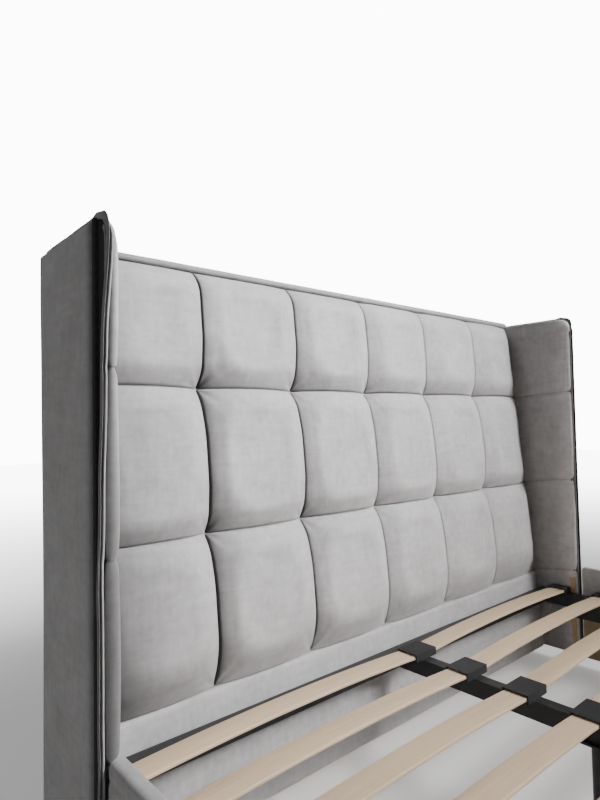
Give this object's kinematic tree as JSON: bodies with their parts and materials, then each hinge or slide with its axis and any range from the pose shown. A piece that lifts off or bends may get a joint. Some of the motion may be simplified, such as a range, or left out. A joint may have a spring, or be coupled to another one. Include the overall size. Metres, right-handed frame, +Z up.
{
  "type": "upholstered bed",
  "caption": "Upholstered double bed with a tall winged headboard of sewn square tiles, padded rails and a sprung slat base on low feet.",
  "frame": {"origin": "centre of the bed's footprint, on the floor", "axes": "+X to the right seen from the foot end, +Y towards the back of the headboard, +Z up"},
  "size_m": [1.692, 2.2488, 1.201],
  "materials": {
    "velvet": "warm light grey short-pile velvet over foam",
    "back_cloth": "dark grey woven upholsterer's backing",
    "plywood": "raw birch plywood",
    "pine": "planed raw pine",
    "beech": "laminated beech, thin clear coat",
    "black_steel": "satin black powder coat",
    "zinc_steel": "bright zinc plate",
    "black_plastic": "moulded, fine grain",
    "felt": "pressed felt"
  },
  "bodies": {
    "bed_frame": {"centre_leg_plates": "black_steel", "centre_leg_tubes": "black_steel", "centre_slat_holders": "black_plastic", "centre_tube": "black_steel", "felt_glides": "felt", "foot_cross_tube": "black_steel", "foot_rail_board": "plywood", "foot_rail_cover": "velvet", "frame_bolts": "zinc_steel", "head_cross_tube": "black_steel", "headboard_back_cover": "back_cloth", "headboard_board": "plywood", "headboard_braces": "pine", "headboard_feet": "pine", "headboard_lower_tiles": "velvet", "headboard_middle_tiles": "velvet", "headboard_posts": "pine", "headboard_rails": "pine", "headboard_skirt": "velvet", "headboard_top_flange": "velvet", "headboard_top_pad": "velvet", "headboard_upper_tiles": "velvet", "left_rail_board": "plywood", "left_rail_cover": "velvet", "left_side_tube": "black_steel", "left_slat_holders": "black_plastic", "left_slats": "beech", "left_support_angle": "black_steel", "left_wing_board": "plywood", "left_wing_flange": "velvet", "left_wing_nose": "velvet", "left_wing_outer_cover": "velvet", "left_wing_pads": "velvet", "left_wing_spacers": "pine", "leg_bolts": "zinc_steel", "leg_inserts": "zinc_steel", "plate_bolts": "zinc_steel", "rail_bolts": "zinc_steel", "rail_legs": "pine", "right_rail_board": "plywood", "right_rail_cover": "velvet", "right_side_tube": "black_steel", "right_slat_holders": "black_plastic", "right_slats": "beech", "right_support_angle": "black_steel", "right_wing_board": "plywood", "right_wing_flange": "velvet", "right_wing_nose": "velvet", "right_wing_outer_cover": "velvet", "right_wing_pads": "velvet", "right_wing_spacers": "pine", "wing_bolts": "zinc_steel"},
    "centre_foot_1_body": {"centre_foot_1": "black_plastic"},
    "centre_foot_2_body": {"centre_foot_2": "black_plastic"},
    "centre_foot_3_body": {"centre_foot_3": "black_plastic"}
  },
  "joints": [
    {"name": "centre_foot_1_screw", "type": "slide", "parent": "bed_frame", "child": "centre_foot_1_body", "axis": [0, 0, -1], "range_m": [0, 0.02]},
    {"name": "centre_foot_2_screw", "type": "slide", "parent": "bed_frame", "child": "centre_foot_2_body", "axis": [0, 0, -1], "range_m": [0, 0.02]},
    {"name": "centre_foot_3_screw", "type": "slide", "parent": "bed_frame", "child": "centre_foot_3_body", "axis": [0, 0, -1], "range_m": [0, 0.02]}
  ]
}
